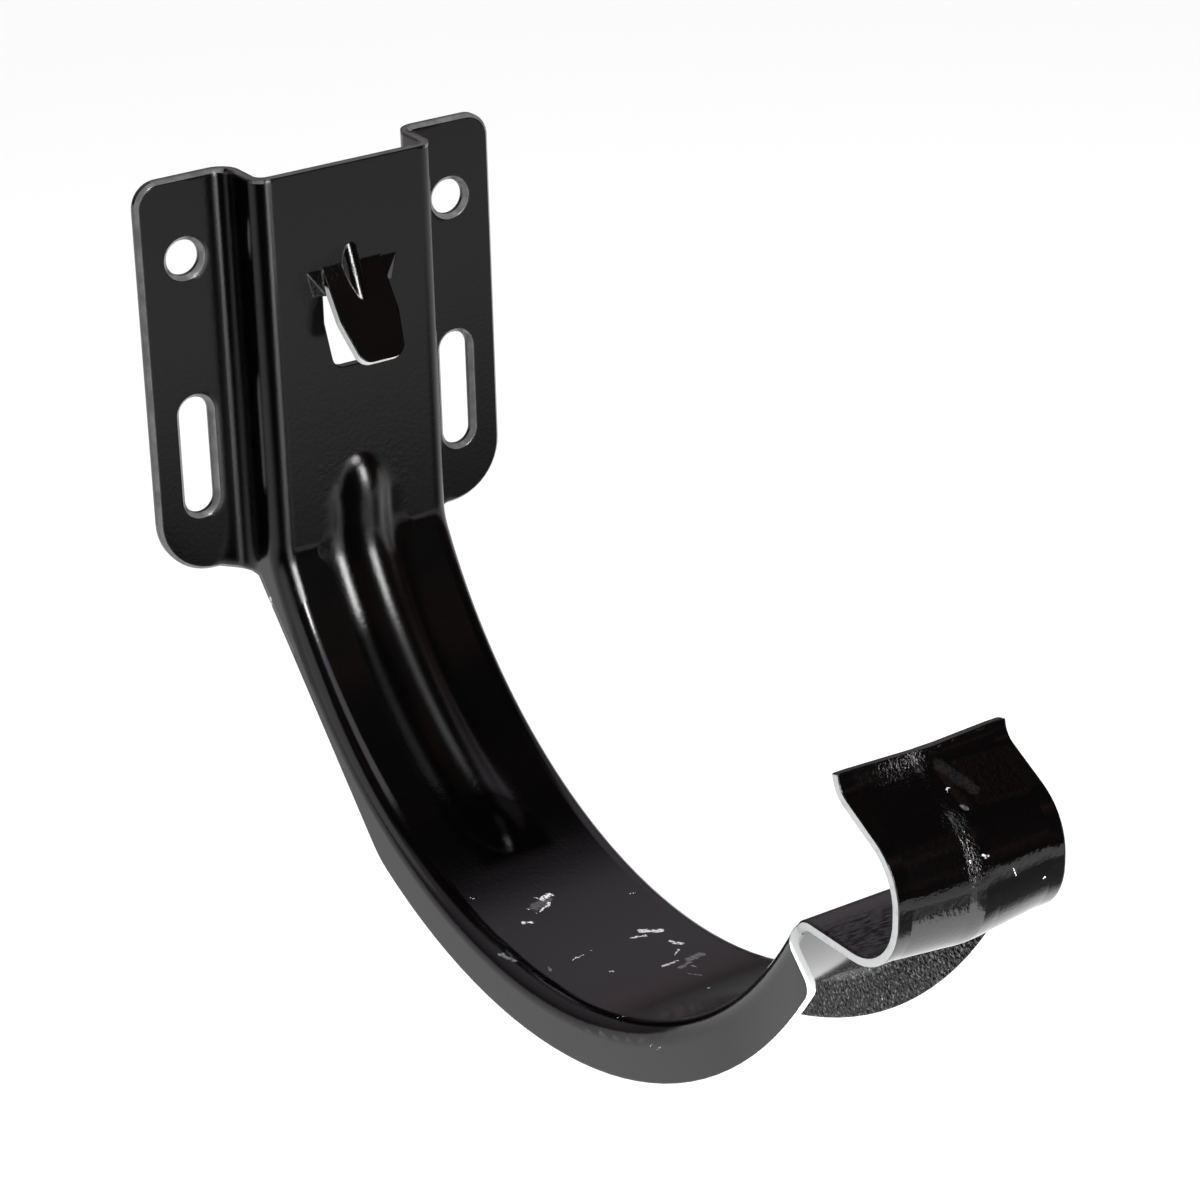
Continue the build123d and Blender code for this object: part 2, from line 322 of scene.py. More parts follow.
@dataclass
class Effects:
    """Builds the shared effects, each once."""

    fine_ratio: float = 2.6
    built: dict[Effect, Tree] = field(default_factory=dict)

    def stroke(self) -> Tree:
        """Mask of a straight stroke: Position, Start, End, Width and Soft in, Mask out.

        Returns:
            The group.
        """
        if Effect.STROKE not in self.built:
            group = EffectGroup(Effect.STROKE, ("Position", "Start", "End"), ("Width", "Soft"), "Mask")
            tree, inputs, mask = group.make()
            along = vector_node(tree, "SUBTRACT", inputs["End"], inputs["Start"]).outputs["Vector"]
            from_start = vector_node(tree, "SUBTRACT", inputs["Position"], inputs["Start"]).outputs["Vector"]
            reach = vector_node(tree, "DOT_PRODUCT", from_start, along).outputs["Value"]
            length = vector_node(tree, "DOT_PRODUCT", along, along).outputs["Value"]
            scaled = tree.nodes.new("ShaderNodeVectorMath")
            scaled.operation = "SCALE"
            tree.links.new(along, scaled.inputs[0])
            tree.links.new(math_node(tree, "DIVIDE", reach, length, clamp=True), scaled.inputs["Scale"])
            apart = vector_node(tree, "DISTANCE", from_start, scaled.outputs["Vector"]).outputs["Value"]
            relative = math_node(tree, "DIVIDE", apart, inputs["Width"])
            within = math_node(tree, "SUBTRACT", total(tree, inputs["Soft"], 0.5), relative)
            ramp = product(tree, inputs["Soft"], 2.0)
            tree.links.new(math_node(tree, "DIVIDE", within, ramp, clamp=True), mask)
            self.built[Effect.STROKE] = tree
        return self.built[Effect.STROKE]

    def peel(self) -> Tree:
        """Orange peel of a sprayed coating, around zero: Position, Scale and Fine in, Height out.

        Returns:
            The group.
        """
        if Effect.PEEL not in self.built:
            tree, inputs, height = EffectGroup(Effect.PEEL, ("Position",), ("Scale", "Fine"), "Height").make()
            coarse = noise(tree, inputs["Position"], inputs["Scale"], detail=1.0)
            fine_scale = product(tree, inputs["Scale"], self.fine_ratio)
            fine = noise(tree, inputs["Position"], fine_scale, detail=1.0)
            small = product(tree, math_node(tree, "SUBTRACT", fine, 0.5), inputs["Fine"])
            tree.links.new(total(tree, math_node(tree, "SUBTRACT", coarse, 0.5), small), height)
            self.built[Effect.PEEL] = tree
        return self.built[Effect.PEEL]

    def specks(self) -> Tree:
        """Sparse small dust specks: Position, Scale, Size and Share in, Mask out.

        Returns:
            The group.
        """
        if Effect.SPECKS not in self.built:
            group = EffectGroup(Effect.SPECKS, ("Position",), ("Scale", "Size", "Share"), "Mask")
            tree, inputs, mask = group.make()
            cells = tree.nodes.new("ShaderNodeTexVoronoi")
            tree.links.new(inputs["Position"], cells.inputs["Vector"])
            tree.links.new(inputs["Scale"], cells.inputs["Scale"])
            parts = tree.nodes.new("ShaderNodeSeparateColor")
            tree.links.new(cells.outputs["Color"], parts.inputs["Color"])
            kept = below(tree, parts.outputs["Red"], inputs["Share"])
            size = product(tree, parts.outputs["Green"], inputs["Size"])
            near = below(tree, cells.outputs["Distance"], size)
            tree.links.new(product(tree, kept, near), mask)
            self.built[Effect.SPECKS] = tree
        return self.built[Effect.SPECKS]


@dataclass(frozen=True)
class Surface:
    """The sheet's surface as the coating's masks read it, with places in millimetres."""

    tree: Tree
    effects: Effects
    place: Socket
    spot: Socket
    at: Sockets
    across: Socket
    normal: Socket
    faces: Sockets

    @classmethod
    def read(cls, tree: Tree, effects: Effects) -> "Surface":
        """Add the nodes that read the surface.

        Args:
            tree: Material's tree.
            effects: Shared effects.

        Returns:
            The surface.
        """
        place = tree.nodes.new("ShaderNodeTexCoord").outputs["Object"]
        spot = vector_node(tree, "DIVIDE", place, (MM, MM, MM)).outputs["Vector"]
        at = split(tree, spot)
        normal = tree.nodes.new("ShaderNodeNewGeometry").outputs["True Normal"]
        return cls(tree, effects, place, spot, at, size_of(tree, at["X"]), normal, split(tree, normal))


@dataclass(frozen=True)
class Mark:
    """A mark on the coating, from start to end, in millimetres."""

    kind: MarkKind
    start: Point
    end: Point
    width: float
    strength: float = 1.0


CRADLE_MARKS = (
    Mark(MarkKind.CHIP, (-1.8, -53.6, -76.3), (-0.4, -53.4, -76.2), 0.65),
    Mark(MarkKind.SMEAR, (-3.6, -54.6, -76.4), (-1.4, -54.2, -76.4), 1.3, 0.5),
    Mark(MarkKind.SCRATCH, (-2.5, -53.0, -76.1), (-2.0, -54.0, -76.3), 0.30),
    Mark(MarkKind.SCRATCH, (-3.4, -55.6, -76.6), (-1.3, -54.8, -76.5), 0.34),
    Mark(MarkKind.SCRATCH, (-4.7, -54.4, -76.4), (-4.0, -55.9, -76.7), 0.16),
    Mark(MarkKind.CHIP, (-6.7, -56.6, -76.8), (-5.6, -57.2, -76.9), 0.42),
    Mark(MarkKind.CHIP, (-10.3, -49.6, -75.3), (-9.7, -49.8, -75.4), 0.22),
    Mark(MarkKind.SCRATCH, (-6.3, -67.1, -77.6), (-4.2, -66.8, -77.6), 0.18),
    Mark(MarkKind.SCRATCH, (-3.2, -66.3, -77.6), (-2.8, -66.5, -77.6), 0.14),
    Mark(MarkKind.CHIP, (3.2, -66.9, -77.6), (4.9, -67.5, -77.6), 0.42),
    Mark(MarkKind.CHIP, (5.0, -66.0, -77.6), (7.2, -67.6, -77.6), 0.75),
    Mark(MarkKind.SCRATCH, (8.4, -58.1, -77.0), (9.6, -58.2, -77.0), 0.16),
    Mark(MarkKind.CHIP, (6.5, -70.8, -77.4), (7.2, -72.1, -77.4), 0.60),
    Mark(MarkKind.SCRATCH, (4.5, -74.4, -77.1), (5.9, -73.3, -77.2), 0.22),
    Mark(MarkKind.CHIP, (1.5, -76.1, -76.9), (3.6, -76.1, -76.9), 0.50),
    Mark(MarkKind.SMEAR, (2.8, -78.1, -76.5), (4.4, -77.6, -76.6), 0.70),
    Mark(MarkKind.SMEAR, (5.0, -76.8, -76.8), (7.0, -76.6, -76.8), 1.10),
    Mark(MarkKind.SMEAR, (2.3, -80.0, -76.1), (2.8, -82.6, -75.5), 0.3),
    Mark(MarkKind.SCRATCH, (4.0, -78.6, -76.4), (4.3, -79.3, -76.3), 0.16),
    Mark(MarkKind.DARK, (5.1, -77.9, -76.6), (6.7, -79.2, -76.3), 0.18),
    Mark(MarkKind.CHIP, (-4.1, -72.7, -77.3), (-3.9, -72.9, -77.3), 0.26),
    Mark(MarkKind.SCRATCH, (-11.9, -86.0, -74.8), (-11.1, -87.0, -74.2), 0.16),
    Mark(MarkKind.SMEAR, (-9.5, -66.6, -77.6), (-9.7, -67.7, -77.6), 0.28),
    Mark(MarkKind.SMEAR, (-12.5, -60.0, -77.8), (-12.0, -62.7, -77.7), 0.51),
)

SIDE_WALL_MARKS = (
    Mark(MarkKind.SCRATCH, (-13.5, -95.4, -73.7), (-13.5, -95.9, -73.1), 0.14),
    Mark(MarkKind.SCRATCH, (-13.5, -96.9, -73.2), (-13.5, -97.6, -72.5), 0.16),
    Mark(MarkKind.CHIP, (-13.5, -6.2, -48.0), (-13.5, -6.5, -48.6), 0.7),
)

HOOK_MARKS = (
    Mark(MarkKind.CHIP, (-0.6, -134.1, -27.1), (0.1, -133.8, -27.0), 0.17, 0.45),
    Mark(MarkKind.SMEAR, (0.1, -136.1, -28.2), (0.4, -136.5, -28.5), 0.5, 0.35),
    Mark(MarkKind.CHIP, (3.9, -140.5, -35.0), (4.2, -140.6, -36.1), 0.19),
    Mark(MarkKind.CHIP, (-0.1, -140.1, -32.4), (0.4, -140.2, -32.7), 0.26, 0.4),
    Mark(MarkKind.CHIP, (8.4, -140.1, -38.0), (8.8, -140.1, -38.1), 0.14),
    Mark(MarkKind.SCRATCH, (-1.9, -140.1, -32.6), (-1.9, -140.2, -32.9), 0.14),
    Mark(MarkKind.SMEAR, (0.9, -131.3, -25.6), (2.8, -134.6, -27.6), 1.6, 0.03),
)

ROUGH_PATCHES = (
    Mark(MarkKind.PEBBLE, (-5.5, -10.0, -4.5), (-1.5, -10.0, -3.0), 4.5),
    Mark(MarkKind.PEBBLE, (-2.0, -130.0, -24.0), (-4.5, -130.0, -25.0), 4.0),
    Mark(MarkKind.PEBBLE, (-1.0, -137.5, -29.5), (-0.6, -140.6, -34.0), 3.6),
)


@dataclass(frozen=True)
class Marks:
    """Chips, scratches and smears in the cradle and on the hook, and rough patches of coating."""

    marks: tuple[Mark, ...] = CRADLE_MARKS + SIDE_WALL_MARKS + HOOK_MARKS + ROUGH_PATCHES
    ragged_scale: float = 1400.0
    ragged_detail: float = 3.0
    ragged_reach: float = 0.95
    sharp: float = 0.12
    faded: float = 0.5
    grain_scale: float = 3600.0
    grain_span: Span = (0.35, 0.6)
    grain_ends: Span = (0.35, 1.0)
    broken_scale: float = 3000.0
    broken_span: Span = (0.40, 0.46)
    broken_ends: Span = (0.1, 1.0)

    def masks(self, surface: Surface) -> dict[MarkKind, Socket]:
        """Masks of all marks, one for each kind.

        Args:
            surface: The sheet's surface.

        Returns:
            Masks by kind; scratches count as chips.
        """
        tree = surface.tree
        ragged = self.ragged_spot(surface)
        masks: dict[MarkKind, Socket] = {}
        for mark in self.marks:
            kind = MarkKind.CHIP if mark.kind is MarkKind.SCRATCH else mark.kind
            stroke = self.stroke(surface, ragged, mark)
            masks[kind] = highest(tree, masks[kind], stroke) if kind in masks else stroke
        grain = remap(tree, noise(tree, surface.place, self.grain_scale), self.grain_span, self.grain_ends)
        masks[MarkKind.SMEAR] = product(tree, masks[MarkKind.SMEAR], grain)
        broken = noise(tree, surface.place, self.broken_scale)
        broken = remap(tree, broken, self.broken_span, self.broken_ends)
        masks[MarkKind.CHIP] = product(tree, masks[MarkKind.CHIP], broken)
        return masks

    def ragged_spot(self, surface: Surface) -> Socket:
        """Shift the place a little, so that strokes get ragged edges.

        Args:
            surface: The sheet's surface.

        Returns:
            The shifted place in millimetres.
        """
        tree = surface.tree
        shift = noise_node(tree, surface.place, self.ragged_scale, self.ragged_detail).outputs["Color"]
        centred = vector_node(tree, "SUBTRACT", shift, (0.5, 0.5, 0.5)).outputs["Vector"]
        ragged = vector_node(tree, "MULTIPLY", centred, (self.ragged_reach,) * 3).outputs["Vector"]
        return vector_node(tree, "ADD", surface.spot, ragged).outputs["Vector"]

    def stroke(self, surface: Surface, ragged: Socket, mark: Mark) -> Socket:
        """Mask of one mark.

        Args:
            surface: The sheet's surface.
            ragged: Shifted place in millimetres.
            mark: Mark to draw.

        Returns:
            The mask's socket.
        """
        values = {
            "Position": ragged,
            "Start": mark.start,
            "End": mark.end,
            "Width": mark.width,
            "Soft": self.faded if mark.kind is MarkKind.PEBBLE else self.sharp,
        }
        mask = use_group(surface.tree, surface.effects.stroke(), **values).outputs["Mask"]
        return mask if mark.strength == 1.0 else product(surface.tree, mask, mark.strength)


@dataclass(frozen=True)
class ShearedEdges:
    """Pale sheared edges: the strip's and hook's sides, the walls' free edges, the noses and the tongue; the
    noses' inner parts carry painted shade.
    """

    sideways: Span = (0.80, 0.92)
    level: Span = (0.6, 0.3)
    strip_side: Span = (11.2, 11.8)
    strip_soft: float = 0.1
    strip_from: float = -120.9
    gutter_axis: Point = (0.0, -66.547, -13.85)
    wall_edge: Span = (70.55, 70.75)
    wall_fade: Span = (-30.0, -52.0)
    wall_from: float = 12.0
    nose_tilt: Span = (0.5, 0.9)
    nose_below: float = -45.0
    nose_from: float = -121.7
    nose_inner: float = 11.3
    nose_shade_span: Span = (13.0, 13.3)
    nose_inner_shade: float = 0.5
    patch_scale: float = 0.9
    patch_detail: float = 3.0
    patch_span: Span = (0.28, 0.42)
    patch_ends: Span = (0.82, 1.0)

    def mask(self, surface: Surface) -> Socket:
        """Mask of all pale edges.

        Args:
            surface: The sheet's surface.

        Returns:
            The mask's socket.
        """
        tree = surface.tree
        regions = (self.strip(surface), self.walls(surface), self.noses(surface), TongueEdges().mask(surface))
        patchy = noise(tree, surface.spot, self.patch_scale, self.patch_detail)
        return product(tree, highest(tree, *regions), remap(tree, patchy, self.patch_span, self.patch_ends))

    def strip(self, surface: Surface) -> Socket:
        """Mask of the strip's and hook's sides.

        Args:
            surface: The sheet's surface.

        Returns:
            The mask's socket.
        """
        tree = surface.tree
        side = band(tree, surface.across, self.strip_side, self.strip_soft)
        beyond = below(tree, surface.at["Y"], self.strip_from)
        return product(tree, side, beyond, remap(tree, size_of(tree, surface.faces["X"]), self.sideways))

    def walls(self, surface: Surface) -> Socket:
        """Mask of the side walls' free edges, which lie farthest from the gutter's axis.

        Args:
            surface: The sheet's surface.

        Returns:
            The mask's socket.
        """
        tree = surface.tree
        flat = tree.nodes.new("ShaderNodeCombineXYZ")
        tree.links.new(surface.at["Y"], flat.inputs["Y"])
        tree.links.new(surface.at["Z"], flat.inputs["Z"])
        radius = vector_node(tree, "DISTANCE", flat.outputs["Vector"], self.gutter_axis).outputs["Value"]
        level = remap(tree, size_of(tree, surface.faces["X"]), self.level)
        under = remap(tree, surface.at["Y"], self.wall_fade)
        outer = remap(tree, radius, self.wall_edge)
        return product(tree, outer, level, under, above(tree, surface.across, self.wall_from))

    def noses(self, surface: Surface) -> Socket:
        """Mask of the sloping noses where the side walls end under the strip, with painted shade on their
        inner part, which leaves a bright line along the outer edge.

        Args:
            surface: The sheet's surface.

        Returns:
            The mask's socket.
        """
        tree = surface.tree
        tilt = math_node(tree, "SUBTRACT", surface.faces["Z"], surface.faces["Y"])
        level = remap(tree, size_of(tree, surface.faces["X"]), self.level)
        low = below(tree, surface.at["Z"], self.nose_below)
        beyond = below(tree, surface.at["Y"], self.nose_from)
        outside = above(tree, surface.across, self.nose_inner)
        # Painted shade: the nose's inner part gets half the pale tone, its outer edge the full tone as a
        # bright line.
        nose_shade = remap(tree, surface.across, self.nose_shade_span, (self.nose_inner_shade, 1.0))
        return product(tree, remap(tree, tilt, self.nose_tilt), level, low, beyond, outside, nose_shade)


@dataclass(frozen=True)
class TongueEdges:
    """Pale sheared sides and tip of the lanced tongue."""

    face_normal: Point = (0.0, -0.829, 0.559)
    cut_span: Span = (0.55, 0.35)
    height: Span = (-15.9, -4.6)
    height_soft: float = 0.3
    side: Span = (2.7, 4.6)
    side_soft: float = 0.1
    tip_below: float = -12.9
    reach: Span = (-20.0, -9.35)

    def mask(self, surface: Surface) -> Socket:
        """Mask of the tongue's cut edges.

        Args:
            surface: The sheet's surface.

        Returns:
            The mask's socket.
        """
        tree = surface.tree
        flat = vector_node(tree, "DOT_PRODUCT", surface.normal, self.face_normal).outputs["Value"]
        cut = remap(tree, size_of(tree, flat), self.cut_span)
        height = band(tree, surface.at["Z"], self.height, self.height_soft)
        side = band(tree, surface.across, self.side, self.side_soft)
        ends = highest(tree, side, below(tree, surface.at["Z"], self.tip_below))
        far, near = self.reach
        within = product(tree, below(tree, surface.at["Y"], near), above(tree, surface.at["Y"], far))
        return product(tree, height, within, ends, cut)


@dataclass(frozen=True)
class EdgeHighlightsAndCuts:
    """Painted highlights on the plate's rounded edges and the rims of its holes and slots, and its paler cut
    faces at the top and the sides.
    """

    tilted: Span = (0.45, 0.95)
    tilted_soft: float = 0.08
    flange_front: float = -1.23
    plate_top: float = 10.5
    top_cut: float = 10.9
    side_cut: float = 26.4
    cut_span: Span = (0.4, 0.2)
    cut_share: float = 0.55
    patch_scale: float = 500.0
    patch_detail: float = 3.0
    patch_span: Span = (0.3, 0.7)
    patch_ends: Span = (0.6, 1.0)

    def mask(self, surface: Surface) -> Socket:
        """Mask of the painted edge highlights and the paler cut faces.

        Args:
            surface: The sheet's surface.

        Returns:
            The mask's socket.
        """
        tree = surface.tree
        forward = product(tree, surface.faces["Y"], -1.0)
        tilted = band(tree, forward, self.tilted, self.tilted_soft)
        # Painted highlights on the rounded rims and the rounded top edge.
        rim = product(tree, tilted, above(tree, surface.at["Y"], self.flange_front))
        top = product(tree, tilted, above(tree, surface.at["Z"], self.plate_top))
        # Paler cut faces along the top and the outer sides.
        cut = product(tree, remap(tree, forward, self.cut_span), self.cut_share)
        upper = product(tree, cut, above(tree, surface.at["Z"], self.top_cut))
        outer = product(tree, cut, above(tree, surface.across, self.side_cut))
        patchy = noise(tree, surface.place, self.patch_scale, self.patch_detail)
        edges = highest(tree, rim, top, upper, outer)
        return product(tree, edges, remap(tree, patchy, self.patch_span, self.patch_ends))


@dataclass(frozen=True)
class CoarseWall:
    """The far side wall's inner face, where the coating is coarse, with painted glints in its colour."""

    inner_from: float = 11.9
    facing: Span = (-0.3, -0.8)
    arm_from: float = -40.0
    grain_scale: float = 2300.0
    grain_span: Span = (0.57, 0.68)
    pit_scale: float = 2100.0
    pit_span: Span = (0.50, 0.38)
    pit_ends: Span = (0.25, 0.85)
    peel_strength: float = 8.0

    def mask(self, surface: Surface) -> Socket:
        """Mask of the coarse face.

        Args:
            surface: The sheet's surface.

        Returns:
            The mask's socket.
        """
        tree = surface.tree
        inside = above(tree, surface.at["X"], self.inner_from)
        turned = remap(tree, surface.faces["X"], self.facing)
        return product(tree, inside, turned, below(tree, surface.at["Y"], self.arm_from))

    def painted_glints(self, surface: Surface) -> Socket:
        """Mask of painted glints: pale specks in the coarse face's colour."""
        painted_glints = remap(surface.tree, noise(surface.tree, surface.place, self.grain_scale), self.grain_span)
        return product(surface.tree, painted_glints, self.mask(surface))

    def dimming(self, surface: Surface) -> Socket:
        """How much of the gloss the pits in the coarse face take away.

        Args:
            surface: The sheet's surface.

        Returns:
            The share's socket.
        """
        tree = surface.tree
        pits = remap(tree, noise(tree, surface.place, self.pit_scale), self.pit_span, self.pit_ends)
        return product(tree, self.mask(surface), pits)


@dataclass(frozen=True)
class Valley:
    """The strip's valley behind the hook, with fine wrinkles across it and painted shade along their troughs.
    """

    along: Span = (-134.5, -125.0)
    along_soft: float = 2.0
    upward: Span = (0.2, 0.7)
    below_level: float = -40.0
    stretch: Point = (650.0, 3000.0, 3000.0)
    detail: float = 3.0
    fineness: float = 0.6
    depth: float = 12.0
    wrinkle_shade_span: Span = (-0.12, 0.10)
    wrinkle_shade_ends: Span = (0.85, 0.10)

    def mask(self, surface: Surface) -> Socket:
        """Mask of the valley.

        Args:
            surface: The sheet's surface.

        Returns:
            The mask's socket.
        """
        tree = surface.tree
        along = band(tree, surface.at["Y"], self.along, self.along_soft)
        upward = remap(tree, surface.faces["Z"], self.upward)
        return product(tree, along, upward, below(tree, surface.at["Z"], self.below_level))

    def wrinkles(self, surface: Surface) -> Socket:
        """Fine wrinkles across the strip, around zero.

        Args:
            surface: The sheet's surface.

        Returns:
            The wrinkles' height.
        """
        tree = surface.tree
        stretched = vector_node(tree, "MULTIPLY", surface.place, self.stretch).outputs["Vector"]
        return math_node(tree, "SUBTRACT", noise(tree, stretched, 1.0, self.detail, self.fineness), 0.5)

    def height(self, surface: Surface) -> Socket:
        """Height of the wrinkles inside the valley."""
        return product(surface.tree, self.wrinkles(surface), self.mask(surface), self.depth)

    def dimming(self, surface: Surface) -> Socket:
        """Painted shade along the wrinkles' troughs, as the share of gloss taken away."""
        dim = remap(surface.tree, self.wrinkles(surface), self.wrinkle_shade_span, self.wrinkle_shade_ends)
        return product(surface.tree, dim, self.mask(surface))


@dataclass(frozen=True)
class Bead:
    """The long bead: a softly rounded form with a satin crest, and painted shade on its left foot and its
    tail, where gloss is taken away.
    """

    height: Span = (-75.0, -28.0)
    height_soft: float = 2.0
    side: Span = (7.2, 6.2)
    arm_before: float = -46.0
    peel_strength: float = 0.8
    extra_radius: float = 1.5
    crest: Span = (-2.6, 3.4)
    crest_soft: float = 1.0
    crest_along: Span = (-42.0, -36.0)
    crest_below: Span = (-28.0, -34.0)
    crest_roughness: float = 0.06
    foot: Span = (-6.2, -2.6)
    foot_soft: float = 0.5
    foot_height: Span = (-78.0, -49.5)
    foot_height_soft: float = 3.0
    foot_along: Span = (-46.0, -40.0)
    foot_painted_shade: float = 0.75
    tail: Span = (-47.0, -36.0)
    tail_soft: float = 2.0
    tail_side: Span = (6.5, 4.5)
    tail_painted_shade: float = 0.92

    def mask(self, surface: Surface) -> Socket:
        """Mask of the whole bead.

        Args:
            surface: The sheet's surface.

        Returns:
            The mask's socket.
        """
        tree = surface.tree
        tall = band(tree, surface.at["Z"], self.height, self.height_soft)
        near = above(tree, surface.at["Y"], self.arm_before)
        return product(tree, tall, remap(tree, surface.across, self.side), near)

    def satin(self, surface: Surface) -> Socket:
        """Roughness that the crest has more than the sheet beside it.

        Args:
            surface: The sheet's surface.

        Returns:
            The roughness to add.
        """
        tree = surface.tree
        crest = band(tree, surface.at["X"], self.crest, self.crest_soft)
        along = remap(tree, surface.at["Y"], self.crest_along)
        low = remap(tree, surface.at["Z"], self.crest_below)
        return product(tree, crest, along, low, self.crest_roughness)

    def dimming(self, surface: Surface) -> Socket:
        """Painted shade at the left foot and at the tail: how much of the gloss is taken away there.

        Args:
            surface: The sheet's surface.

        Returns:
            The share's socket.
        """
        tree = surface.tree
        foot = band(tree, surface.at["X"], self.foot, self.foot_soft)
        tall = band(tree, surface.at["Z"], self.foot_height, self.foot_height_soft)
        # Painted shade on the left foot.
        foot = product(tree, foot, tall, remap(tree, surface.at["Y"], self.foot_along), self.foot_painted_shade)
        # Painted shade on the tail.
        tail = band(tree, surface.at["Y"], self.tail, self.tail_soft)
        tail = product(tree, tail, remap(tree, surface.across, self.tail_side), self.tail_painted_shade)
        return highest(tree, foot, tail)


@dataclass(frozen=True)
class Folds:
    """The joggles' folds, which open out toward the arm."""

    inner: Span = (10.2, 11.4)
    outer: Span = (19.5, 18.0)
    plate_from: float = -12.0
    opening: Span = (9.0, -24.0)
    opening_ends: Span = (0.5, 1.0)
    extra_radius: float = 1.1

    def mask(self, surface: Surface) -> Socket:
        """Mask of the folds, rising downward.

        Args:
            surface: The sheet's surface.

        Returns:
            The mask's socket.
        """
        tree = surface.tree
        inner = remap(tree, surface.across, self.inner)
        outer = remap(tree, surface.across, self.outer)
        near = above(tree, surface.at["Y"], self.plate_from)
        opening = remap(tree, surface.at["Z"], self.opening, self.opening_ends)
        return product(tree, inner, outer, near, opening)


@dataclass(frozen=True)
class Hook:
    """The hook's outer face: smoother and glossier than the rest, with a fine ridge down its middle."""

    gloss_from: Span = (-110.0, -125.0)
    smooth_from: Span = (-120.0, -134.0)
    face_from: Span = (-124.0, -130.0)
    peel_strength: float = 1.0
    ridge_offset: float = 0.1
    ridge_half: float = 2.2
    ridge_slope: float = -0.04

    def mask(self, surface: Surface) -> Socket:
        """Mask of the hook."""
        return remap(surface.tree, surface.at["Y"], self.face_from)

    def ridge(self, surface: Surface, unit: float) -> Socket:
        """Height of the fine ridge.

        Args:
            surface: The sheet's surface.
            unit: Depth of the coating's bump in millimetres, in which the height is told.

        Returns:
            The height's socket.
        """
        tree = surface.tree
        off = size_of(tree, total(tree, surface.at["X"], self.ridge_offset))
        fall = math_node(tree, "MINIMUM", off, self.ridge_half)
        return product(tree, fall, self.ridge_slope / unit, self.mask(surface))


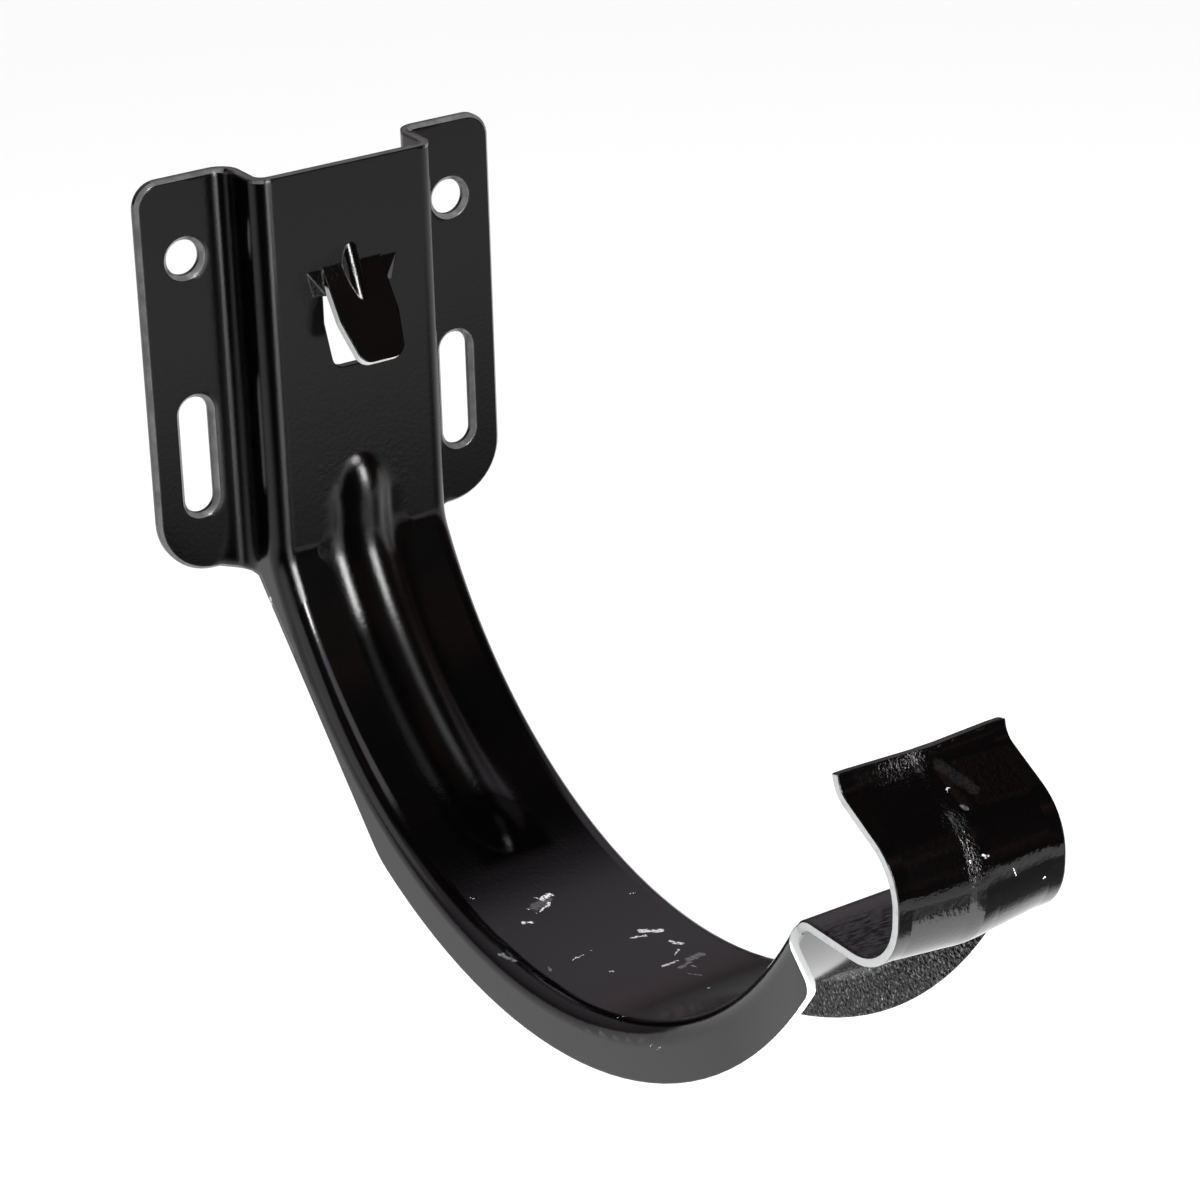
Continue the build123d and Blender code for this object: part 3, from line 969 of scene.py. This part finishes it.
@dataclass(frozen=True)
class GlossCoat:
    """Gloss black coating on sheet steel, with pale sheared edges, rubbed marks and dust."""

    name: str = Finish.GLOSS_COAT.value
    colour: Colour = (0.0006, 0.0005, 0.0005, 1.0)
    pale_edge: Colour = (0.50, 0.51, 0.51, 1.0)
    # Lighter colour of the plate's edges: painted highlights on the rounded rims, paler cut faces.
    edge_highlight_and_cut: Colour = (0.075, 0.075, 0.075, 1.0)
    bare: Colour = (0.62, 0.62, 0.64, 1.0)
    dull: Colour = (0.14, 0.14, 0.15, 1.0)
    # Colour of the painted glints in the coarse wall.
    grain: Colour = (0.20, 0.20, 0.19, 1.0)
    roughness: float = 0.13
    hook_roughness: float = 0.055
    cloud_scale: float = 160.0
    cloud_roughness: float = 0.03
    matt_roughness: float = 0.5
    index: float = 1.45
    specular_level: float = 0.36
    hook_specular_level: float = 0.60
    dust_scale: float = 330.0
    dust_size: float = 0.07
    dust_share: float = 0.10
    peel_scale: float = 1700.0
    peel_fine: float = 0.25
    peel_depth: float = 0.012
    peel_strength: float = 0.55
    grit_scale: float = 3000.0
    grit_fine: float = 0.5
    grit_strength: float = 3.2
    dent_depth: float = -3.0
    edge_radius: float = 0.3
    edge_samples: int = 6
    bead: Bead = Bead()
    coarse_wall: CoarseWall = CoarseWall()
    folds: Folds = Folds()
    hook: Hook = Hook()
    marks: Marks = Marks()
    valley: Valley = Valley()

    def build(self, effects: Effects) -> bpy.types.Material:
        """Build the coating's material.

        Args:
            effects: Shared effects.

        Returns:
            The material.
        """
        material, tree = new_material(self.name)
        output = tree.nodes.new("ShaderNodeOutputMaterial")
        shader = tree.nodes.new("ShaderNodeBsdfPrincipled")
        tree.links.new(shader.outputs["BSDF"], output.inputs["Surface"])
        surface = Surface.read(tree, effects)
        masks = self.marks.masks(surface)
        dust = use_group(
            tree, effects.specks(),
            Position=surface.place, Scale=self.dust_scale, Size=self.dust_size, Share=self.dust_share,
        )
        chips = highest(tree, masks[MarkKind.CHIP], dust.outputs["Mask"])
        pale = ShearedEdges().mask(surface)
        matt = highest(tree, pale, chips, masks[MarkKind.SMEAR])
        tree.links.new(self.base_colour(surface, masks, pale, chips), shader.inputs["Base Color"])
        tree.links.new(self.roughness_map(surface, matt), shader.inputs["Roughness"])
        shader.inputs["IOR"].default_value = self.index
        shader.inputs["Specular IOR Level"].default_value = self.specular_level
        tree.links.new(self.gloss_level(surface), shader.inputs["Specular IOR Level"])
        tree.links.new(self.relief(surface, masks), shader.inputs["Normal"])
        return material

    def base_colour(
        self, surface: Surface, masks: dict[MarkKind, Socket], pale: Socket, chips: Socket
    ) -> Socket:
        """Colour of the coating with its pale edges, painted edge highlights, painted glints and marks.

        Args:
            surface: The sheet's surface.
            masks: Masks of the marks.
            pale: Mask of the pale sheared edges.
            chips: Mask of the chips and dust.

        Returns:
            The colour's socket.
        """
        tree = surface.tree
        # Painted highlights on the plate's rounded edges, with its paler cut faces.
        colour = mix_colour(tree, EdgeHighlightsAndCuts().mask(surface), self.colour, self.edge_highlight_and_cut)
        # Painted glints in the coarse wall.
        colour = mix_colour(tree, self.coarse_wall.painted_glints(surface), colour, self.grain)
        colour = mix_colour(tree, masks[MarkKind.SMEAR], colour, self.dull)
        colour = mix_colour(tree, pale, colour, self.pale_edge)
        return mix_colour(tree, chips, colour, self.bare)

    def roughness_map(self, surface: Surface, matt: Socket) -> Socket:
        """Roughness: smoother at the hook, satin on the bead's crest, matt where the coating is gone.

        Args:
            surface: The sheet's surface.
            matt: Mask of bare and rubbed places.

        Returns:
            The roughness's socket.
        """
        tree = surface.tree
        smooth = remap(tree, surface.at["Y"], self.hook.smooth_from, (self.roughness, self.hook_roughness))
        clouds = product(tree, noise(tree, surface.place, self.cloud_scale), self.cloud_roughness)
        gloss = total(tree, smooth, clouds, self.bead.satin(surface))
        return highest(tree, gloss, product(tree, matt, self.matt_roughness))

    def gloss_level(self, surface: Surface) -> Socket:
        """Strength of the reflections: higher at the hook, lower in the coarse wall's pits, and lower where
        shade is painted along the valley's wrinkles and at the bead's left foot and tail.

        Args:
            surface: The sheet's surface.

        Returns:
            The level's socket.
        """
        tree = surface.tree
        levels = (self.specular_level, self.hook_specular_level)
        level = remap(tree, surface.at["Y"], self.hook.gloss_from, levels)
        dimming = highest(
            tree, self.valley.dimming(surface), self.bead.dimming(surface), self.coarse_wall.dimming(surface)
        )
        return product(tree, level, math_node(tree, "SUBTRACT", 1.0, dimming))

    def relief(self, surface: Surface, masks: dict[MarkKind, Socket]) -> Socket:
        """Normal bent by the orange peel, the wrinkles and dents, over softly rounded edges.

        Args:
            surface: The sheet's surface.
            masks: Masks of the marks.

        Returns:
            The bent normal's socket.
        """
        tree = surface.tree
        dents = product(tree, masks[MarkKind.DARK], self.dent_depth)
        height = total(
            tree,
            self.peel_height(surface),
            self.grit_height(surface, masks[MarkKind.PEBBLE]),
            self.valley.height(surface),
            dents,
            self.hook.ridge(surface, self.peel_depth),
        )
        bump = tree.nodes.new("ShaderNodeBump")
        bump.inputs["Strength"].default_value = 1.0
        bump.inputs["Distance"].default_value = self.peel_depth * MM
        tree.links.new(height, bump.inputs["Height"])
        tree.links.new(self.soft_edges(surface), bump.inputs["Normal"])
        return bump.outputs["Normal"]

    def peel_height(self, surface: Surface) -> Socket:
        """Orange peel, stronger on the coarse wall, the bead and the hook.

        Args:
            surface: The sheet's surface.

        Returns:
            The height's socket.
        """
        tree = surface.tree
        group = surface.effects.peel()
        peel = use_group(tree, group, Position=surface.place, Scale=self.peel_scale, Fine=self.peel_fine)
        strength = total(
            tree,
            product(tree, self.coarse_wall.mask(surface), self.coarse_wall.peel_strength),
            product(tree, self.bead.mask(surface), self.bead.peel_strength),
            product(tree, self.hook.mask(surface), self.hook.peel_strength),
            self.peel_strength,
        )
        return product(tree, peel.outputs["Height"], strength)

    def grit_height(self, surface: Surface, patches: Socket) -> Socket:
        """Coarse grit in the rough patches.

        Args:
            surface: The sheet's surface.
            patches: Mask of the rough patches.

        Returns:
            The height's socket.
        """
        tree = surface.tree
        group = surface.effects.peel()
        grit = use_group(tree, group, Position=surface.place, Scale=self.grit_scale, Fine=self.grit_fine)
        return product(tree, grit.outputs["Height"], patches, self.grit_strength)

    def soft_edges(self, surface: Surface) -> Socket:
        """Normal with rounded edges, rounder along the bead and at the joggles' folds.

        Args:
            surface: The sheet's surface.

        Returns:
            The normal's socket.
        """
        tree = surface.tree
        soft = tree.nodes.new("ShaderNodeBevel")
        soft.samples = self.edge_samples
        radius = total(
            tree,
            product(tree, self.bead.mask(surface), self.bead.extra_radius),
            product(tree, self.folds.mask(surface), self.folds.extra_radius),
            self.edge_radius,
        )
        tree.links.new(product(tree, radius, MM), soft.inputs["Radius"])
        return soft.outputs["Normal"]


@dataclass(frozen=True)
class Camera:
    """Camera that sees the bracket as the photograph does."""

    position: Point = (-0.22908637, -0.41733448, 0.16312447)
    right: Point = (0.83145358, -0.55511975, -0.02295681)
    up: Point = (0.24946395, 0.33608694, 0.90819233)
    back: Point = (-0.49644001, -0.76084666, 0.41792306)
    lens: float = 113.99
    sensor: float = 36.0
    clip: Span = (0.01, 50.0)

    def build(self) -> bpy.types.Object:
        """Build the camera and make it the scene's own.

        Returns:
            The camera.
        """
        data = bpy.data.cameras.new("camera")
        data.lens = self.lens
        data.sensor_width = self.sensor
        data.sensor_fit = "HORIZONTAL"
        data.clip_start, data.clip_end = self.clip
        camera = bpy.data.objects.new("camera", data)
        bpy.context.scene.collection.objects.link(camera)
        turn = Matrix((self.right, self.up, self.back)).transposed()
        camera.matrix_world = Matrix.Translation(self.position) @ turn.to_4x4()
        bpy.context.scene.camera = camera
        return camera


@dataclass(frozen=True)
class Softbox:
    """Rectangular studio light."""

    name: str
    position: Point
    size: Span
    power: float
    target: Point = (0.0, -0.06, -0.03)
    colour: Point = (1.0, 1.0, 1.0)

    def build(self) -> bpy.types.Object:
        """Build the light, turned toward its target.

        Returns:
            The light.
        """
        data = bpy.data.lights.new(self.name, "AREA")
        data.shape = "RECTANGLE"
        data.size, data.size_y = self.size
        data.energy = self.power
        data.color = self.colour
        light = bpy.data.objects.new(self.name, data)
        light.location = self.position
        toward = Vector(self.target) - Vector(self.position)
        light.rotation_euler = toward.to_track_quat("-Z", "Y").to_euler()
        light.visible_camera = False
        bpy.context.scene.collection.objects.link(light)
        return light


@dataclass(frozen=True)
class Floor:
    """Plain pale floor, with dark stretches that only the gloss sees, among them a painted shadow of the arm,
    in metres.
    """

    level: float = -0.30
    half: float = 6.0
    colour: Colour = (0.9, 0.9, 0.9, 1.0)
    roughness: float = 0.95
    dark: Colour = (0.008, 0.007, 0.008, 1.0)
    far: Span = (-1.0, -1.12)
    left_across: Span = (-0.12, -0.25)
    left_along: Span = (-0.15, -0.30)
    behind_along: Span = (0.32, 0.60)
    behind_rise: Span = (0.20, 0.38)
    behind_fall: Span = (1.05, 0.85)
    behind_share: float = 0.87
    behind_least: float = 0.01
    shade_left: Span = (0.16, 0.20)
    shade_right: Span = (0.70, 0.55)
    shade_front: Span = (-0.70, -0.49)
    shade_back: Span = (-0.10, -0.25)
    shade_share: float = 0.90

    def build(self) -> bpy.types.Object:
        """Build the floor.

        Returns:
            The floor.
        """
        half = self.half
        mesh = bpy.data.meshes.new("studio_floor")
        corners = [(-half, -half), (half, -half), (half, half), (-half, half)]
        mesh.from_pydata([(x, y, self.level) for x, y in corners], [], [(0, 1, 2, 3)])
        floor = bpy.data.objects.new("studio_floor", mesh)
        bpy.context.scene.collection.objects.link(floor)
        mesh.materials.append(self.paper())
        return floor

    def paper(self) -> bpy.types.Material:
        """Build the floor's material.

        Returns:
            The material.
        """
        material, tree = new_material(Finish.PAPER.value)
        output = tree.nodes.new("ShaderNodeOutputMaterial")
        shader = tree.nodes.new("ShaderNodeBsdfPrincipled")
        shader.inputs["Base Color"].default_value = self.colour
        shader.inputs["Roughness"].default_value = self.roughness
        shader.inputs["Specular IOR Level"].default_value = 0.0
        black = tree.nodes.new("ShaderNodeEmission")
        black.inputs["Color"].default_value = self.dark
        rays = tree.nodes.new("ShaderNodeLightPath")
        choose = tree.nodes.new("ShaderNodeMixShader")
        shade = product(tree, self.dark_mask(tree), rays.outputs["Is Glossy Ray"])
        tree.links.new(shade, choose.inputs["Fac"])
        tree.links.new(shader.outputs["BSDF"], choose.inputs[1])
        tree.links.new(black.outputs["Emission"], choose.inputs[2])
        tree.links.new(choose.outputs["Shader"], output.inputs["Surface"])
        return material

    def dark_mask(self, tree: Tree) -> Socket:
        """Mask of the dark stretches: far in front, at the left, behind, and a painted shadow of the arm.

        Args:
            tree: Floor material's tree.

        Returns:
            The mask's socket.
        """
        at = split(tree, tree.nodes.new("ShaderNodeTexCoord").outputs["Object"])
        across, along = at["X"], at["Y"]
        far = remap(tree, along, self.far)
        left = product(tree, remap(tree, across, self.left_across), remap(tree, along, self.left_along))
        bearing = math_node(tree, "DIVIDE", across, highest(tree, along, self.behind_least))
        sector = product(tree, remap(tree, bearing, self.behind_rise), remap(tree, bearing, self.behind_fall))
        behind = product(tree, remap(tree, along, self.behind_along), sector, self.behind_share)
        # Painted shadow of the arm on the floor, seen only in the gloss.
        wide = product(tree, remap(tree, across, self.shade_left), remap(tree, across, self.shade_right))
        deep = product(tree, remap(tree, along, self.shade_front), remap(tree, along, self.shade_back))
        return highest(tree, far, left, behind, product(tree, wide, deep, self.shade_share))


@dataclass(frozen=True)
class Room:
    """World: white for the eye and the floor, and a dim room with soft panels for the gloss."""

    daylight: float = 1.25
    warm: Colour = (0.15, 0.080, 0.066, 1.0)
    dark: Colour = (0.008, 0.007, 0.008, 1.0)
    mottle_scale: float = 3.2
    mottle_detail: float = 3.0
    mottle_span: Span = (0.50, 0.72)
    backdrop: Colour = (1.05, 0.94, 1.05, 1.0)
    backdrop_low: Span = (0.86, 0.70)
    backdrop_behind: Span = (0.08, 0.30)
    backdrop_rise: float = 0.93
    backdrop_least: float = 0.06
    upper_panel: Colour = (2.2, 2.2, 2.35, 1.0)
    upper_left: Span = (-0.20, -0.12)
    upper_right: Span = (0.36, 0.28)
    upper_near: Span = (0.10, 0.16)
    upper_far: Span = (1.25, 1.10)
    upper_least: float = 0.05
    side_panel: Colour = (1.6, 1.6, 1.6, 1.0)
    side_left: Span = (-0.70, -0.82)
    side_wide: Span = (0.50, 0.40)
    side_low: Span = (0.60, 0.50)

    def build(self) -> bpy.types.World:
        """Build the world.

        Returns:
            The world.
        """
        world = bpy.data.worlds.new("studio")
        bpy.context.scene.world = world
        world.use_nodes = True
        tree = world.node_tree
        tree.nodes.clear()
        output = tree.nodes.new("ShaderNodeOutputWorld")
        white = tree.nodes.new("ShaderNodeBackground")
        white.inputs["Strength"].default_value = self.daylight
        dim = tree.nodes.new("ShaderNodeBackground")
        tree.links.new(self.surroundings(tree), dim.inputs["Color"])
        rays = tree.nodes.new("ShaderNodeLightPath")
        choose = tree.nodes.new("ShaderNodeMixShader")
        tree.links.new(rays.outputs["Is Glossy Ray"], choose.inputs["Fac"])
        tree.links.new(white.outputs["Background"], choose.inputs[1])
        tree.links.new(dim.outputs["Background"], choose.inputs[2])
        tree.links.new(choose.outputs["Shader"], output.inputs["Surface"])
        return world

    def surroundings(self, tree: Tree) -> Socket:
        """Colour of the room, its backdrop and its panels by direction.

        Args:
            tree: World's tree.

        Returns:
            The colour's socket.
        """
        place = tree.nodes.new("ShaderNodeTexCoord").outputs["Generated"]
        toward = split(tree, place)
        mottled = noise(tree, place, self.mottle_scale, self.mottle_detail)
        mottled = remap(tree, mottled, self.mottle_span)
        around = mix_colour(tree, mottled, self.dark, self.warm)
        around = mix_colour(tree, self.backdrop_mask(tree, toward), around, self.backdrop)
        around = mix_colour(tree, self.upper_mask(tree, toward), around, self.upper_panel)
        return mix_colour(tree, self.side_mask(tree, toward), around, self.side_panel)

    def backdrop_mask(self, tree: Tree, toward: Sockets) -> Socket:
        """Mask of the backdrop, which grows brighter with height.

        Args:
            tree: World's tree.
            toward: Components of the direction.

        Returns:
            The mask's socket.
        """
        low = remap(tree, toward["Z"], self.backdrop_low)
        behind = remap(tree, toward["Y"], self.backdrop_behind)
        rising = total(tree, product(tree, toward["Z"], self.backdrop_rise), self.backdrop_least)
        return product(tree, low, behind, highest(tree, rising, self.backdrop_least))

    def upper_mask(self, tree: Tree, toward: Sockets) -> Socket:
        """Mask of the soft panel above and in front.

        Args:
            tree: World's tree.
            toward: Components of the direction.

        Returns:
            The mask's socket.
        """
        height = highest(tree, toward["Z"], self.upper_least)
        across = math_node(tree, "DIVIDE", toward["X"], height)
        ahead = math_node(tree, "DIVIDE", product(tree, toward["Y"], -1.0), height)
        wide = product(tree, remap(tree, across, self.upper_left), remap(tree, across, self.upper_right))
        deep = product(tree, remap(tree, ahead, self.upper_near), remap(tree, ahead, self.upper_far))
        return product(tree, wide, deep)

    def side_mask(self, tree: Tree, toward: Sockets) -> Socket:
        """Mask of the soft panel at the left.

        Args:
            tree: World's tree.
            toward: Components of the direction.

        Returns:
            The mask's socket.
        """
        left = remap(tree, toward["X"], self.side_left)
        wide = remap(tree, size_of(tree, toward["Y"]), self.side_wide)
        return product(tree, left, wide, remap(tree, toward["Z"], self.side_low))


@dataclass(frozen=True)
class Studio:
    """Pale floor, room and soft lights."""

    floor: Floor = Floor()
    room: Room = Room()
    lights: tuple[Softbox, ...] = (
        Softbox("front_softbox", (0.010, -0.60, 0.0775), (0.226, 0.745), 5.2, (0.010, 0.0, 0.0775)),
        Softbox("key_lamp", (0.005, -0.56, 0.24), (0.10, 0.28), 4.4),
    )

    def build(self) -> None:
        """Build the floor, the world and the lights."""
        self.floor.build()
        self.room.build()
        for light in self.lights:
            light.build()


@dataclass
class Bracket:
    """The pressed bracket: one node of the frame, dressed in its coating."""

    node: str = "gutter_bracket"
    coat: GlossCoat = field(default_factory=GlossCoat)
    effects: Effects = field(default_factory=Effects)

    def dress(self) -> bpy.types.Object:
        """Put the coating on the bracket's node.

        Returns:
            The bracket.
        """
        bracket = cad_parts[self.node]
        bracket.data.materials.clear()
        bracket.data.materials.append(self.coat.build(self.effects))
        return bracket


def main() -> None:
    """Build the studio and dress the bracket."""
    logging.basicConfig(level=logging.INFO, format="%(message)s")
    view = bpy.context.scene.view_settings
    view.view_transform = "Standard"
    view.look = "None"
    Studio().build()
    Camera().build()
    bracket = Bracket().dress()
    LOG.info("%s: %d faces", bracket.name, len(bracket.data.polygons))


if __name__ == "__main__":
    main()
